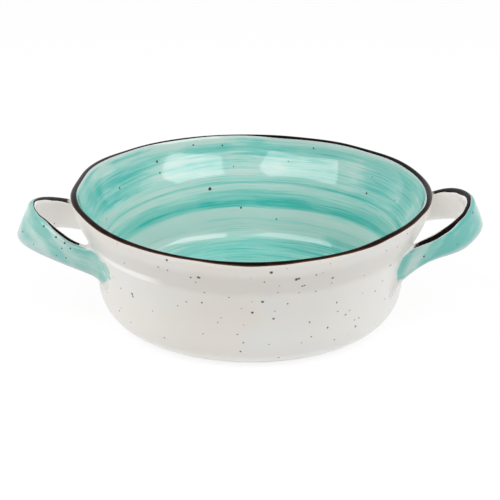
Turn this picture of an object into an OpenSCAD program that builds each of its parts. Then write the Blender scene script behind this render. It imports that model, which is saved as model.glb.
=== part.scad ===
// Lug soup bowl: a stoneware bowl with a flared neck and two strap handles.
// The bowl is centred on the Z axis and stands on the XY plane.
// The handles lie on the X axis, right at +X and left at -X.

/* [Bowl] */
// Outer diameter of the glazed rim
rim_d = 150; // [140:1:165]
// Height of the top of the rim
bowl_h = 54; // [50:0.5:64]
// Outer diameter of the flat base
base_d = 101; // [88:1:108]
// Diameter of the belly just above its rounded lower corner
belly_d = 127; // [120:1:131]
// Height of the rounded lower corner
corner_h = 16; // [12:0.5:20]
// How far the wall leans out from the belly to the crease below the neck
belly_flare = 5.2; // [3:0.1:6.6]
// Height of the flared neck, from that crease to the top of the rim
neck_h = 16.6; // [12:0.2:20]
// Thickness of the wall, glaze included
wall_t = 4.2; // [3:0.1:5.5]
// Thickness of the floor, glaze included
floor_t = 5; // [4:0.1:8]
// Thickness of the rounded lip
lip_t = 3.2; // [2.4:0.1:4]
// Width of the foot ring that the bowl stands on
foot_w = 6; // [4:0.5:10]
// Depth of the recess inside the foot ring
foot_recess = 1.4; // [0.8:0.1:2.2]

/* [Glaze] */
// Thickness of the fired glaze
glaze_t = 0.4; // [0.3:0.05:0.6]
// Height of the bare clay band above the base
bare_h = 1; // [0.6:0.1:2]
// Width of the brown line along the top edge of a strap
line_w = 2.2; // [1.6:0.1:3]

/* [Handles] */
// Clear gap for a finger between the rim and either strap
finger_gap = 14; // [11:0.2:20]
// Width of a strap at its outermost point
strap_w = 14.2; // [11:0.2:17]
// Thickness of the clay strap
strap_t = 4.2; // [3:0.1:5.4]
// Lean of the strap's face from upright at its outermost point
strap_lean_angle = 20; // [12:1:28]
// How far the right strap's top edge lies below the rim at its outermost point
right_drop = 4; // [2:0.2:9]
// How far the left strap's top edge lies below the rim at its outermost point
left_drop = 7.6; // [2:0.2:9]
// How far below the crease a strap's top edge meets the wall
root_drop = 0.8; // [0:0.1:3]
// Width of a strap where it meets the wall
root_w = 15; // [12:0.2:17]
// Angle around the bowl from the X axis to a right root
right_root_angle = 24; // [19:1:30]
// Angle around the bowl from the X axis to a left root
left_root_angle = 19.5; // [18:0.5:30]
// How far the soft clay of a joint spreads beyond the strap
joint_spread = 2.2; // [1:0.1:3]
// Length of a joint, from the wall to where the strap begins
joint_len = 3.8; // [2.6:0.1:5]

/* [Quality] */
// Segments around the bowl
round_steps = 128; // [64:16:192]
// Rings along each strap
strap_rings = 28; // [20:4:48]

/* [Hidden] */
$fn = round_steps;

rim_r = rim_d / 2;
base_r = base_d / 2;
belly_r = belly_d / 2;
crease_r = belly_r + belly_flare;
lip_r = lip_t / 2;
lip_z = bowl_h - lip_r;
crease_h = bowl_h - neck_h;
strap_r = strap_t / 2;
right = 1;
left = -1;
front = -1;
back = 1;

// Shapes of the wall's curves, as powers of the way along each
belly_power_share = 1.7;
neck_power_share = 1.4;
corner_steps = 9;
wall_steps = 9;
lip_steps = 10;
floor_steps = 10;
// The lip's arc on which the brown line lies, as angles from outward through up
line_from_angle = 25;
line_to_angle = 115;

// Where the inner wall turns into the floor
inner_turn_h_share = 0.62;
inner_turn_r = belly_r - wall_t;
inner_turn_z = corner_h * inner_turn_h_share + floor_t;
flat_floor_r = base_r - corner_h / 2;

// Powers of the cosine that shape a strap's two edges
top_plan_share = 1;
low_plan_share = 1.05;
top_rise_share = 0.9;
low_rise_share = 0.6;
joint_rings = 5;
end_push = strap_t + joint_spread;
// Angles around a ring, from outward through up: the top edge, then the bottom
line_half_angle = asin(min(0.95, line_w / 2 / (strap_r + glaze_t)));
line_near_angle = 90 - line_half_angle;
line_far_angle = 90 + line_half_angle;
low_edge_angle = 300;
arc_steps = 6;
top_angles = [0, line_near_angle / 2, line_near_angle, 90,
              line_far_angle, 180 - line_near_angle / 2, 180];
low_angles = [for (i = [0:arc_steps]) 180 + 180 * i / arc_steps];
// The points of a ring that each coat covers
top_count = len(top_angles);
ring_angles = concat(top_angles, low_angles);
function points_from(first, last, from, to) =
    [for (k = [first:last]) if (ring_angles[k] >= from && ring_angles[k] <= to) k];
ring_last = len(ring_angles) - 1;
outer_coat = concat(points_from(top_count, ring_last, low_edge_angle, 360),
                    points_from(0, top_count - 1, 0, line_near_angle));
line_coat = points_from(0, top_count - 1, line_near_angle, line_far_angle);
inner_coat = concat(points_from(0, top_count - 1, line_far_angle, 180),
                    points_from(top_count, ring_last, 180, low_edge_angle));

function mix(a, b, s) = a + (b - a) * s;
function flip(points) = [for (i = [len(points) - 1:-1:0]) points[i]];
function unit(v) = v / norm(v);
function slice(points, a, b) = [for (i = [a:b]) points[i]];

// The glazed outline of the wall in [radius, height], from the base up the
// outside, over the lip and down the inside to the middle of the floor
corner_from_angle = acos(1 - bare_h / corner_h);
corner_points = [for (i = [0:corner_steps])
    let (a = mix(corner_from_angle, 90, i / corner_steps))
    [mix(base_r, belly_r, sin(a)), corner_h * (1 - cos(a))]];
belly_points = [for (i = [1:wall_steps]) let (s = i / wall_steps)
    [mix(belly_r, crease_r, pow(s, belly_power_share)), mix(corner_h, crease_h, s)]];
neck_points = [for (i = [1:wall_steps]) let (s = i / wall_steps)
    [mix(rim_r, crease_r, pow(1 - s, neck_power_share)), mix(crease_h, lip_z, s)]];
function lip_point(a) = [rim_r - lip_r + lip_r * cos(a), lip_z + lip_r * sin(a)];
lip_angles = concat([line_from_angle / 2],
    [for (i = [0:lip_steps]) mix(line_from_angle, line_to_angle, i / lip_steps)],
    [(line_to_angle + 180) / 2]);
lip_points = [for (a = lip_angles) lip_point(a)];
inner_crease_r = crease_r - wall_t;
inner_rim_r = rim_r - lip_t;
inner_neck_points = [for (i = [0:wall_steps]) let (s = i / wall_steps)
    [mix(inner_rim_r, inner_crease_r, pow(s, neck_power_share)), mix(lip_z, crease_h, s)]];
inner_belly_points = [for (i = [1:wall_steps]) let (s = i / wall_steps)
    [mix(inner_turn_r, inner_crease_r, pow(1 - s, belly_power_share)),
     mix(crease_h, inner_turn_z, s)]];
floor_points = [for (i = [1:floor_steps]) let (a = 90 * i / floor_steps)
    [mix(flat_floor_r, inner_turn_r, cos(a)), mix(inner_turn_z, floor_t, sin(a))]];
glaze_line = concat(corner_points, belly_points, neck_points, lip_points,
    inner_neck_points, inner_belly_points, floor_points, [[0, floor_t]]);

// The clay surface lies one glaze thickness inside that outline
function inward(points, i) =
    let (a = points[max(i - 1, 0)], b = points[min(i + 1, len(points) - 1)], t = unit(b - a))
    [-t[1], t[0]];
last = len(glaze_line) - 1;
clay_line = [for (i = [0:last]) i == last ? [0, floor_t - glaze_t]
    : glaze_line[i] + glaze_t * inward(glaze_line, i)];
line_start = len(corner_points) + len(belly_points) + len(neck_points) + 1;
line_end = line_start + lip_steps;

// A coat of glaze between two points of the outline
module coat(from, to) {
    rotate_extrude()
        polygon(concat(slice(glaze_line, from, to), flip(slice(clay_line, from, to))));
}

// The clay wall and everything inside it, up past the rim
module wall_solid(line) {
    outside = slice(line, 0, line_start);
    rotate_extrude()
        polygon(concat([[0, 0], [base_r, 0]], outside, [[0, outside[len(outside) - 1][1]]]));
}

module bowl_body() {
    color([0.86, 0.83, 0.78])
    rotate_extrude()
        polygon(concat(
            [[0, foot_recess], [base_r - foot_w - foot_recess, foot_recess],
             [base_r - foot_w, 0], [base_r, 0]],
            clay_line));
}

module inner_glaze() {
    color([0.50, 0.80, 0.75])
    coat(line_end, last);
}

module rim_line() {
    color([0.10, 0.06, 0.04])
    coat(line_start, line_end);
}

module outer_glaze() {
    color([0.94, 0.93, 0.91])
    difference() {
        coat(0, line_start);
        for (side = [right, left])
            for (leg = [front, back])
                joint_form(side, leg);
    }
}

// Where an edge of the strap lies, for an angle of -90 to 90 along it
outer_table = [for (i = [0:line_start - 1]) [clay_line[i][1], clay_line[i][0]]];
function outer_r_at(h) = lookup(h, outer_table);
function root_angle(side) = side == right ? right_root_angle : left_root_angle;
function tip_h(side) = bowl_h - (side == right ? right_drop : left_drop);
span = strap_w - strap_t;
top_x = rim_r + finger_gap + glaze_t + strap_r;
low_x = top_x + span * sin(strap_lean_angle);
function edge(side, a, root_h, tip_x, tip_z, plan_share, rise_share) =
    let (r = outer_r_at(root_h), c = max(0, cos(a)))
    [side * mix(r * cos(root_angle(side)), tip_x, pow(c, plan_share)),
     r * sin(root_angle(side)) * sin(a),
     mix(root_h, tip_z, pow(c, rise_share))];
function top_at(side, a) =
    edge(side, a, top_root_h, top_x, tip_h(side) - strap_r,
         top_plan_share, top_rise_share);
function low_at(side, a) =
    edge(side, a, top_root_h - root_w + strap_t, low_x,
         tip_h(side) - strap_r - span * cos(strap_lean_angle), low_plan_share, low_rise_share);
function middle_at(side, a) = (top_at(side, a) + low_at(side, a)) / 2;

// One ring around the strap, its clay grown by a coat or a fillet and pushed inward
function ring(side, a, grow, push) =
    let (t = top_at(side, a), b = low_at(side, a), up = unit(t - b),
         ahead = middle_at(side, min(90, a + 1)) - middle_at(side, max(-90, a - 1)),
         out = side * unit(cross(ahead, up)), shift = [-side * push, 0, 0],
         r = strap_r + grow)
    concat(
        [for (q = top_angles) t + shift + r * (sin(q) * up + cos(q) * out)],
        [for (q = low_angles) b + shift + r * (sin(q) * up + cos(q) * out)]);

// The part of the strap's half turn where the strap ends and its joints begin
top_root_h = crease_h - root_drop - strap_r;
function end_angle(side) =
    let (root_x = outer_r_at(top_root_h) * cos(root_angle(side)))
    acos(pow(joint_len / (top_x - root_x), 1 / top_plan_share));
function strap_angles(side) =
    [for (i = [0:strap_rings]) mix(-end_angle(side), end_angle(side), i / strap_rings)];

// A solid through a list of rings. From point split on, each face is cut along its
// other diagonal, so that a coat's inner faces match the clay's outer faces
module loft(rings, split, side) {
    n = len(rings[0]);
    m = len(rings) - 1;
    half = n / 2;
    sides = [for (i = [0:m - 1]) for (j = [0:n - 1])
        let (a = i * n + j, b = i * n + (j + 1) % n, c = b + n, d = a + n)
        each (j < split ? [[a, b, c], [a, c, d]] : [[a, b, d], [b, c, d]])];
    caps = [for (j = [0:half - 2]) let (a = j, b = j + 1, c = n - 2 - j, d = n - 1 - j, e = m * n)
        each [[a, c, b], [a, d, c], [a + e, b + e, c + e], [a + e, c + e, d + e]]];
    faces = [for (f = concat(sides, caps)) side == right ? f : flip(f)];
    polyhedron([for (r = rings) each r], faces);
}

module strap(side) {
    rings = [for (a = strap_angles(side)) ring(side, a, 0, 0)];
    loft(rings, len(rings[0]), side);
}

module strap_coat(side, cover) {
    rings = [for (a = strap_angles(side))
        let (clay = ring(side, a, 0, 0), skin = ring(side, a, glaze_t, 0))
        concat([for (k = cover) skin[k]], [for (k = flip(cover)) clay[k]])];
    loft(rings, len(cover), side);
}

// The soft clay worked in where a strap meets the wall: it widens like a fillet
function spread_at(u) = glaze_t + joint_spread * (1 - sqrt(1 - u * u));
module joint_form(side, leg) {
    walk = [for (i = [0:joint_rings]) i / joint_rings];
    reach = [for (u = walk) ring(side, leg * mix(end_angle(side), 90, u), spread_at(u), 0)];
    sunk = ring(side, leg * 90, spread_at(1), end_push);
    rings = concat(reach, [sunk]);
    loft(leg == back ? rings : flip(rings), len(sunk), side);
}
module joint(side, leg) {
    difference() {
        joint_form(side, leg);
        wall_solid(clay_line);
    }
}

module right_strap() color([0.88, 0.85, 0.80]) strap(right);
module right_outer_glaze() color([0.50, 0.80, 0.75]) strap_coat(right, outer_coat);
module right_inner_glaze() color([0.94, 0.93, 0.91]) strap_coat(right, inner_coat);
module right_line() color([0.10, 0.06, 0.04]) strap_coat(right, line_coat);
module right_front_joint() color([0.92, 0.90, 0.87]) joint(right, front);
module right_back_joint() color([0.92, 0.90, 0.87]) joint(right, back);
module left_strap() color([0.88, 0.85, 0.80]) strap(left);
module left_outer_glaze() color([0.50, 0.80, 0.75]) strap_coat(left, outer_coat);
module left_inner_glaze() color([0.94, 0.93, 0.91]) strap_coat(left, inner_coat);
module left_line() color([0.10, 0.06, 0.04]) strap_coat(left, line_coat);
module left_front_joint() color([0.92, 0.90, 0.87]) joint(left, front);
module left_back_joint() color([0.92, 0.90, 0.87]) joint(left, back);

bowl_body();
inner_glaze();
outer_glaze();
rim_line();
right_strap();
right_front_joint();
right_back_joint();
right_outer_glaze();
right_inner_glaze();
right_line();
left_strap();
left_front_joint();
left_back_joint();
left_outer_glaze();
left_inner_glaze();
left_line();
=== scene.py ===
import math
from functools import partialmethod
import bmesh
import bpy
import numpy as np
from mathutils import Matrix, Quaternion, Vector

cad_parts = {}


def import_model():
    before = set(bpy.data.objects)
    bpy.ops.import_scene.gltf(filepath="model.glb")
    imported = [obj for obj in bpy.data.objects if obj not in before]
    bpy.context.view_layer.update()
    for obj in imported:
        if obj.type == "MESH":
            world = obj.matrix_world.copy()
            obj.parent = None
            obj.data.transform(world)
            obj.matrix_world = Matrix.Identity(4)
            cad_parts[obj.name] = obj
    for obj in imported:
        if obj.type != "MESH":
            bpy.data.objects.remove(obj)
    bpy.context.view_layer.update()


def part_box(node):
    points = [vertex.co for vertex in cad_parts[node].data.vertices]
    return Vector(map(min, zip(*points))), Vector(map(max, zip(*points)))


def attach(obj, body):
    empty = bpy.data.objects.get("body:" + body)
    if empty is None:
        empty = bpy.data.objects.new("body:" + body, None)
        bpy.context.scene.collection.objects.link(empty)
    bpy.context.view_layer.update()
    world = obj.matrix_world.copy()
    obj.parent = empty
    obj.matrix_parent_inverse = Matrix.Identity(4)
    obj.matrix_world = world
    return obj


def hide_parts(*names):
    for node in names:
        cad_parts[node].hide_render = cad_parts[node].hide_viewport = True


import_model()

# Lengths are in millimetres, as the bowl was measured, and become metres in make_mesh
MM = 0.001


def node_top(node):
    """Highest corner of a CAD node, in millimetres."""
    return np.array(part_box(node)[1]) / MM


# Sizes that the frame gives, and the bowl's own shape within them
RIM_R = node_top("outer_glaze")[1]
BOWL_H = node_top("rim_line")[2]
GLAZE_T = 0.4
WALL_T = 4.2
LIP_T = 3.2
FLOOR_H = 5
BASE_R = 50.5
BELLY_R = 63.5
CREASE_R = 68.7
CORNER_H = 16
NECK_H = 16.6
BARE_H = 1
CREASE_H = BOWL_H - NECK_H
LIP_R = LIP_T / 2
LIP_Z = BOWL_H - LIP_R
# How the belly and the neck curve, and the well's corner in shares of the outer one
BELLY_POWER, NECK_POWER = 1.7, 1.4
TURN_SHARE, FLAT_SHARE = 0.5, 0.6
# Points on each stretch of the outline, and the rounds that soften it up to just below the lip
CORNER_POINTS, RISE_POINTS, LIP_POINTS, BEND_POINTS, FLAT_POINTS = 24, 26, 33, 28, 20
SOFT_ROUNDS, SOFT_BELOW = 9, 1
# The foot ring, with a bevel on each side of it
FOOT_W, FOOT_RECESS = 6, 1.4
INNER_BEVEL, INNER_BEVEL_H = 0.3, 0.2
OUTER_BEVEL, OUTER_BEVEL_TOP, OUTER_BEVEL_H = 0.7, 0.1, 0.25

# Hand-made form of the rim: how far it sinks at the back and the front, and where it is pushed in,
# as angle from the right handle, half width in degrees and depth
BACK_SINK, FRONT_SINK = 0.92, 1.03
SINK_FROM_H, DENT_FROM_H = 22, 28
DENTS = ((172, 10, 1.15), (189, 8, 0.4), (207, 11, 0.7), (226, 12, 0.55), (318, 13, 1.3), (338, 8, 0.5),
         (352, 7, 0.2), (4, 9, -0.35), (20, 9, 0.2), (46, 9, 0.75), (70, 9, 0.6), (139, 8, 0.8))
# Ripples around it, and from where to where inside the crease and beyond the rim all this fades
RIPPLES, RIPPLE_DEPTH, RIPPLE_TURN = 9, 0.12, 0.6
FADE_IN, FADE_OUT = (20, 6), (7, 1)

# The brown line's edges on the lip, in degrees from its crest, and how much they waver
LINE_BELOW_AT, LINE_INSIDE_AT = 65, 25
HAND_WAVES, LINE_WAVER, BELOW_SEED, INSIDE_SEED = (3, 5, 8, 13, 21, 34), 0.1, 11, 12
# Where they wander: angle, half width in degrees, millimetres
LINE_BELOW = ((270, 9, 0.3), (251, 13, -0.4), (291, 12, -0.35), (301, 7, -0.25), (312, 10, 0.2),
              (338, 12, -0.3), (8, 14, 0.6), (184, 12, 0.3), (198, 8, -0.2), (234, 10, -0.1))
LINE_INSIDE = ((8, 16, 0.8), (35, 14, 0.55), (60, 18, 0.75), (80, 9, 0.7), (112, 14, 0.25),
               (150, 14, 0.45), (186, 18, 0.4), (348, 10, -0.6), (24, 8, 0.35))

# Straps
STRAP_R = 2.1
SKIN_R = STRAP_R + GLAZE_T
SIDES = {"right": 1, "left": -1}
# Crest height, reach of the top and the bottom edge, and drop between them, at the outermost point
TIPS = {"right": (50.5, 90.9, 94, 8.6), "left": (47.1, 91, 94.7, 10.9)}
# For each leg the root's angle, where its joint begins in degrees along the strap and how far it
# spreads. Then for the top and the bottom edge the root's height, the powers of the cosine for
# height and plan, and the rise halfway along and near the root
LEGS = {
    ("right", "front"): (23, 82, 2.8, (36.6, 0.89, 0.89, 0, 0.1), (19, 0.62, 0.95, -0.1, 3.9)),
    ("right", "back"): (24.8, 82, 2.8, (34.2, 0.94, 0.95, 0.4, -0.5), (23.4, 0.64, 1.08, -0.1, -0.4)),
    ("left", "front"): (19.3, 78, 4.8, (35, 0.93, 1.01, 0.4, -1.9), (22.8, 0.66, 1.08, 0.5, 0.2)),
    ("left", "back"): (19.5, 82, 2.8, (33, 0.98, 1.2, -0.35, -0.3), (24.2, 0.56, 1.05, 0.5, 0.2)),
}
# Where those two rises are greatest and how far they reach, in degrees along it
MID_RISE_AT, ROOT_RISE_AT, RISE_REACH = 45, 72, 35
# How much thinner a strap's top edge is at the outermost point, and how fast that passes
THIN, THIN_POWER = {"right": 0.25, "left": 0.75}, 4
# How far a strap bows outward halfway down, in shares of its radius
BOW = 0.06
# The line on a strap's top edge, as angles from outward through up, at places along the strap
LINE_STOPS = (-85, -60, -35, 0, 35, 85)
LINE_EDGES = {"right": ((58, 56, 60, 66, 62, 58), (112, 112, 110, 112, 152, 160)),
              "left": ((72, 72, 86, 92, 70, 62), (112, 112, 109, 108, 142, 148))}
# The waves along that line, their size in degrees and their seed
LINE_WAVES, LINE_WAVE_SIZE, LINE_WAVE_SEED = (5, 11, 19), 2.2, 50
# The coats' other edge, as an angle around the strap's bottom edge from inward through down
COAT_EDGE_AT = 120

# Places around a strap's rounded edge and down its flat face, and places along it
ARC, FLANK, STRAP_ROWS = 19, 9, 160
ARC_STEP = 180 / (ARC - 1)
# Half the stretch over which a strap's direction is taken, in degrees
AIM_STEP = 1.5

# Rows of a joint along the strap, into the wall and around its fillet, and how deep it is followed
TURN_ROWS, DEEP_ROWS, FILLET_ROWS, DEEPEST = 24, 36, 12, 9
# Rows between the strap and the fillet, as shares of the way
LEAD_SHARES = (0.25, 0.5, 0.75)
# The fillet's limit as a share of the room there, and its height off the wall where it ends
ROOM_SHARE, FILLET_END = 0.8, 0.015
# The rows inside the wall: share of the fillet's spread, height off the wall
SUNK_ROWS = ((0.6, -0.7), (-0.5, -1.4))


# Small tools

def mix(low, high, share):
    return low + (high - low) * share


def smooth(low, high, value):
    share = np.clip((value - low) / (high - low), 0, 1)
    return share * share * (3 - 2 * share)


def bumps(angle, places):
    """Sum of soft bumps around the bowl, given as angle, half width in degrees and size."""
    total = np.zeros_like(angle)
    for at, width, size in places:
        off = (np.degrees(angle) - at + 180) % 360 - 180
        total += size * np.exp(-(off / width) ** 2)
    return total


def hand_wave(angle, seed, size):
    """A closed wavering value around the bowl, for painted edges."""
    rng = np.random.default_rng(seed)
    total = np.zeros_like(angle)
    for waves in HAND_WAVES:
        total += rng.normal() / waves ** 0.5 * np.cos(waves * angle + rng.uniform(0, 2 * math.pi))
    return size * total


# The wall's outline

def soften(points):
    """Rounds off the creases where two stretches of the outline meet, below the lip."""
    for _ in range(SOFT_ROUNDS):
        inner = (points[:-2] + 2 * points[1:-1] + points[2:]) / 4
        high = points[1:-1, 1] > LIP_Z - SOFT_BELOW
        points[1:-1] = np.where(high[:, None], points[1:-1], inner)
    return points


def outline():
    """The glazed outline as [radius, height], up the outside, over the lip and in to the middle."""
    turn_r, turn_z = BELLY_R - WALL_T, FLOOR_H + TURN_SHARE * CORNER_H
    flat_r = BASE_R - FLAT_SHARE * CORNER_H
    inner_crease, inner_rim = CREASE_R - WALL_T, RIM_R - LIP_T
    corner = np.linspace(math.acos(1 - BARE_H / CORNER_H), math.pi / 2, CORNER_POINTS)
    rise = np.linspace(0, 1, RISE_POINTS)[1:]
    fall = 1 - rise
    lip = np.linspace(0, math.pi, LIP_POINTS)[1:]
    bend = np.linspace(0, math.pi / 2, BEND_POINTS)[1:]
    flat = np.linspace(flat_r, 0, FLAT_POINTS)[1:]
    stretches = [
        (mix(BASE_R, BELLY_R, np.sin(corner)), CORNER_H * (1 - np.cos(corner))),
        (mix(BELLY_R, CREASE_R, rise ** BELLY_POWER), mix(CORNER_H, CREASE_H, rise)),
        (mix(RIM_R, CREASE_R, fall ** NECK_POWER), mix(CREASE_H, LIP_Z, rise)),
        (RIM_R - LIP_R + LIP_R * np.cos(lip), LIP_Z + LIP_R * np.sin(lip)),
        (mix(inner_rim, inner_crease, rise ** NECK_POWER), mix(LIP_Z, CREASE_H, rise)),
        (mix(turn_r, inner_crease, fall ** BELLY_POWER), mix(CREASE_H, turn_z, rise)),
        (mix(flat_r, turn_r, np.cos(bend)), mix(turn_z, FLOOR_H, np.sin(bend))),
        (flat, np.full_like(flat, FLOOR_H)),
    ]
    return soften(np.concatenate([np.stack(stretch, 1) for stretch in stretches]))


GLAZE_LINE = outline()
LENGTH_AT = np.concatenate([[0], np.cumsum(np.linalg.norm(np.diff(GLAZE_LINE, axis=0), axis=1))])
TOTAL = LENGTH_AT[-1]
TANGENT = np.gradient(GLAZE_LINE, LENGTH_AT, axis=0)
TANGENT /= np.linalg.norm(TANGENT, axis=1)[:, None]
CLAY_LINE = GLAZE_LINE + GLAZE_T * np.stack([-TANGENT[:, 1], TANGENT[:, 0]], 1)
CLAY_LINE[-1] = (0, FLOOR_H - GLAZE_T)
CREST = np.argmax(GLAZE_LINE[:, 1])
LIP_CREST = LENGTH_AT[CREST]


def along(line, length):
    """Points of an outline at the given arc lengths."""
    return np.stack([np.interp(length, LENGTH_AT, line[:, k]) for k in (0, 1)], -1)


def wall_r(height, line=GLAZE_LINE):
    """Radius of the outside of the wall at the given heights."""
    return np.interp(height, line[:CREST, 1], line[:CREST, 0])


def well_r(height):
    """Radius of the inside of the wall at the given heights."""
    return np.interp(height, GLAZE_LINE[:CREST:-1, 1], GLAZE_LINE[:CREST:-1, 0])


def around_axis(radius, height, angle):
    return np.stack([radius * np.cos(angle), radius * np.sin(angle), height + 0 * angle], -1)


def uneven(points):
    """The hand-made form of points that were given on the true round bowl."""
    x, y, z = points[..., 0], points[..., 1], points[..., 2]
    angle, radius = np.arctan2(y, x), np.hypot(x, y)
    inner, outer = [CREASE_R - d for d in FADE_IN], [RIM_R + d for d in FADE_OUT]
    near = smooth(*inner, radius) * smooth(*outer, radius)
    sink = mix(FRONT_SINK, BACK_SINK, (1 + np.sin(angle)) / 2) * (1 - np.cos(2 * angle))
    push = bumps(angle, DENTS) + RIPPLE_DEPTH * (1 + np.sin(RIPPLES * angle + RIPPLE_TURN))
    shrink = 1 - push * smooth(DENT_FROM_H, BOWL_H, z) * near / np.maximum(radius, 1)
    drop = sink * smooth(SINK_FROM_H, BOWL_H, z) * near
    return np.stack([x * shrink, y * shrink, z - drop], -1)


# Meshes

# Points nearer than this, in metres, become one
WELD = 1e-7
# Angles at which the bowl's coats are built, and how many the clay has
AROUND = np.linspace(0, 2 * math.pi, 400, endpoint=False)
CLAY_AROUND = 200
# Places along the outline on each coat
OUTER_STEPS, LINE_STEPS, INNER_STEPS = 80, 14, 100
# Edges sharper than these angles are kept crisp
SHARP, SHARP_FOOT, SHARP_JOINT = 50, 40, 60


def add_object(name, data):
    obj = bpy.data.objects.new(name, data)
    bpy.context.scene.collection.objects.link(obj)
    return obj


def make_mesh(name, points, faces, attributes=None, sharp=SHARP):
    """A closed smooth mesh in the hand-made form, its sharp edges kept crisp."""
    points = np.asarray(points).reshape(-1, 3)
    mesh = bpy.data.meshes.new(name)
    mesh.from_pydata((uneven(points) * MM).tolist(), [], faces)
    for key, values in (attributes or {}).items():
        layer = mesh.attributes.new(key, "FLOAT_VECTOR", "POINT")
        layer.data.foreach_set("vector", np.asarray(values, dtype=np.float32).ravel())
    bm = bmesh.new()
    bm.from_mesh(mesh)
    bmesh.ops.remove_doubles(bm, verts=bm.verts, dist=WELD)
    bmesh.ops.dissolve_degenerate(bm, edges=bm.edges, dist=WELD)
    bmesh.ops.recalc_face_normals(bm, faces=bm.faces)
    for face in bm.faces:
        face.smooth = True
    for edge in bm.edges:
        edge.smooth = len(edge.link_faces) == 2 and edge.calc_face_angle(0) < math.radians(sharp)
    bm.to_mesh(mesh)
    bm.free()
    return add_object(name, mesh)


def grid_faces(rows, columns, close_rows):
    """Faces of a grid that closes across its columns, and along its rows if asked."""
    faces = []
    for i in range(rows if close_rows else rows - 1):
        this, following = i * columns, ((i + 1) % rows) * columns
        for j in range(columns):
            k = (j + 1) % columns
            faces.append((this + j, this + k, following + k, following + j))
    return faces


def tube_faces(rows, columns):
    """Faces of a closed sweep with flat ends."""
    faces = grid_faces(rows, columns, False)
    faces.append(tuple(range(columns))[::-1])
    faces.append(tuple((rows - 1) * columns + j for j in range(columns)))
    return faces


def there_and_back(skin, clay):
    """Rows that run along a coat's skin and come back along the clay."""
    return np.concatenate([skin, clay[:, ::-1]], 1)


def revolve(name, first, final, steps):
    """A coat around the bowl, between edges given as arc lengths, at the angles AROUND or as one."""
    first, final = (np.broadcast_to(edge, AROUND.shape)[:, None] for edge in (first, final))
    length = mix(first, final, np.linspace(0, 1, steps))
    line = there_and_back(along(GLAZE_LINE, length), along(CLAY_LINE, length))
    points = around_axis(line[..., 0], line[..., 1], AROUND[:, None])
    length = there_and_back(length, length)
    edge = np.stack([length - first, final - length, 0 * length], -1)
    faces = grid_faces(len(AROUND), steps * 2, True)
    return make_mesh(name, points, faces, {"form": points, "edge": edge})


def line_reach(at, places, seed):
    """How far from the lip's crest an edge of the brown line lies, at the angles AROUND."""
    return math.radians(at) * LIP_R + bumps(AROUND, places) + hand_wave(AROUND, seed, LINE_WAVER)


def bowl_clay():
    """The clay under the glaze, which shows at the foot ring and the bare band above it."""
    ring_r = BASE_R - FOOT_W
    foot = [(0, FOOT_RECESS), (ring_r - FOOT_RECESS, FOOT_RECESS),
            (ring_r - INNER_BEVEL, INNER_BEVEL_H), (ring_r + INNER_BEVEL, 0),
            (BASE_R - OUTER_BEVEL, 0), (BASE_R - OUTER_BEVEL_TOP, OUTER_BEVEL_H)]
    profile = np.concatenate([foot, CLAY_LINE[::2], CLAY_LINE[-1:]])
    angle = np.linspace(0, 2 * math.pi, CLAY_AROUND, endpoint=False)[:, None]
    points = around_axis(profile[None, :, 0], profile[None, :, 1], angle)
    faces = grid_faces(CLAY_AROUND, len(profile), True)
    return make_mesh("stoneware_bowl", points, faces, sharp=SHARP_FOOT)


# Straps

def rise_bump(turn, at):
    """A soft bump on both legs, around a place given in degrees from the outermost point."""
    return smooth(RISE_REACH, 0, np.abs(np.degrees(np.abs(turn)) - at))


def edge_at(side, leg, turn, which):
    """Centre of a strap's top (0) or bottom (1) edge on one leg, at angles from its outermost point."""
    root_angle, _, _, *edges = LEGS[side, leg]
    root_h, rise, plan, mid_lift, root_lift = edges[which]
    crest_h, top_x, low_x, drop = TIPS[side]
    tip_x, tip_z = ((top_x, crest_h - STRAP_R), (low_x, crest_h - STRAP_R - drop))[which]
    root_r, root_way = wall_r(root_h, CLAY_LINE), math.radians(root_angle)
    cosine = np.maximum(np.cos(turn), 0)
    x = SIDES[side] * mix(root_r * math.cos(root_way), tip_x, cosine ** plan)
    y = root_r * math.sin(root_way) * np.sin(turn)
    lift = mid_lift * rise_bump(turn, MID_RISE_AT) + root_lift * rise_bump(turn, ROOT_RISE_AT)
    return np.stack([x, y, mix(root_h, tip_z, cosine ** rise) + lift], -1)


def strap_edges(side, turn):
    """Centres of a strap's top and bottom edge, its front leg at the negative angles."""
    return [np.where(turn[:, None] < 0, edge_at(side, "front", turn, k), edge_at(side, "back", turn, k))
            for k in (0, 1)]


def strap_frames(side, turn):
    """Centres of a strap's two edges, its upward and outward directions, and its thinning."""
    top, low = strap_edges(side, turn)
    step = math.radians(AIM_STEP)
    ahead = sum(strap_edges(side, np.minimum(turn + step, math.pi / 2)))
    behind = sum(strap_edges(side, np.maximum(turn - step, -math.pi / 2)))
    up = top - low
    up /= np.linalg.norm(up, axis=-1, keepdims=True)
    out = SIDES[side] * np.cross(ahead - behind, up)
    out /= np.linalg.norm(out, axis=-1, keepdims=True)
    thin = THIN[side] * np.cos(turn)[:, None] ** THIN_POWER
    return top + thin * up, low, up, out, thin


def ring_walk():
    """Places around a strap: angle from outward through up, and share of the way to the bottom edge."""
    arc = np.linspace(0, math.pi, ARC)
    flank = np.linspace(0, 1, FLANK)[1:-1]
    return np.array([(angle, 0) for angle in arc]
                    + [(math.pi, share) for share in flank]
                    + [(math.pi + angle, 1) for angle in arc]
                    + [(2 * math.pi, 1 - share) for share in flank])


WALK = ring_walk()
LAP = len(WALK)
CLOSED_WALK = np.concatenate([WALK, [[2 * math.pi, 0]]])
LOW_EDGE = ARC + FLANK - 2 + COAT_EDGE_AT / ARC_STEP


def walk_at(index):
    """Places around a strap at fractional positions of the walk."""
    return np.stack([np.interp(index % LAP, np.arange(LAP + 1), CLOSED_WALK[:, k]) for k in (0, 1)], -1)


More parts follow.
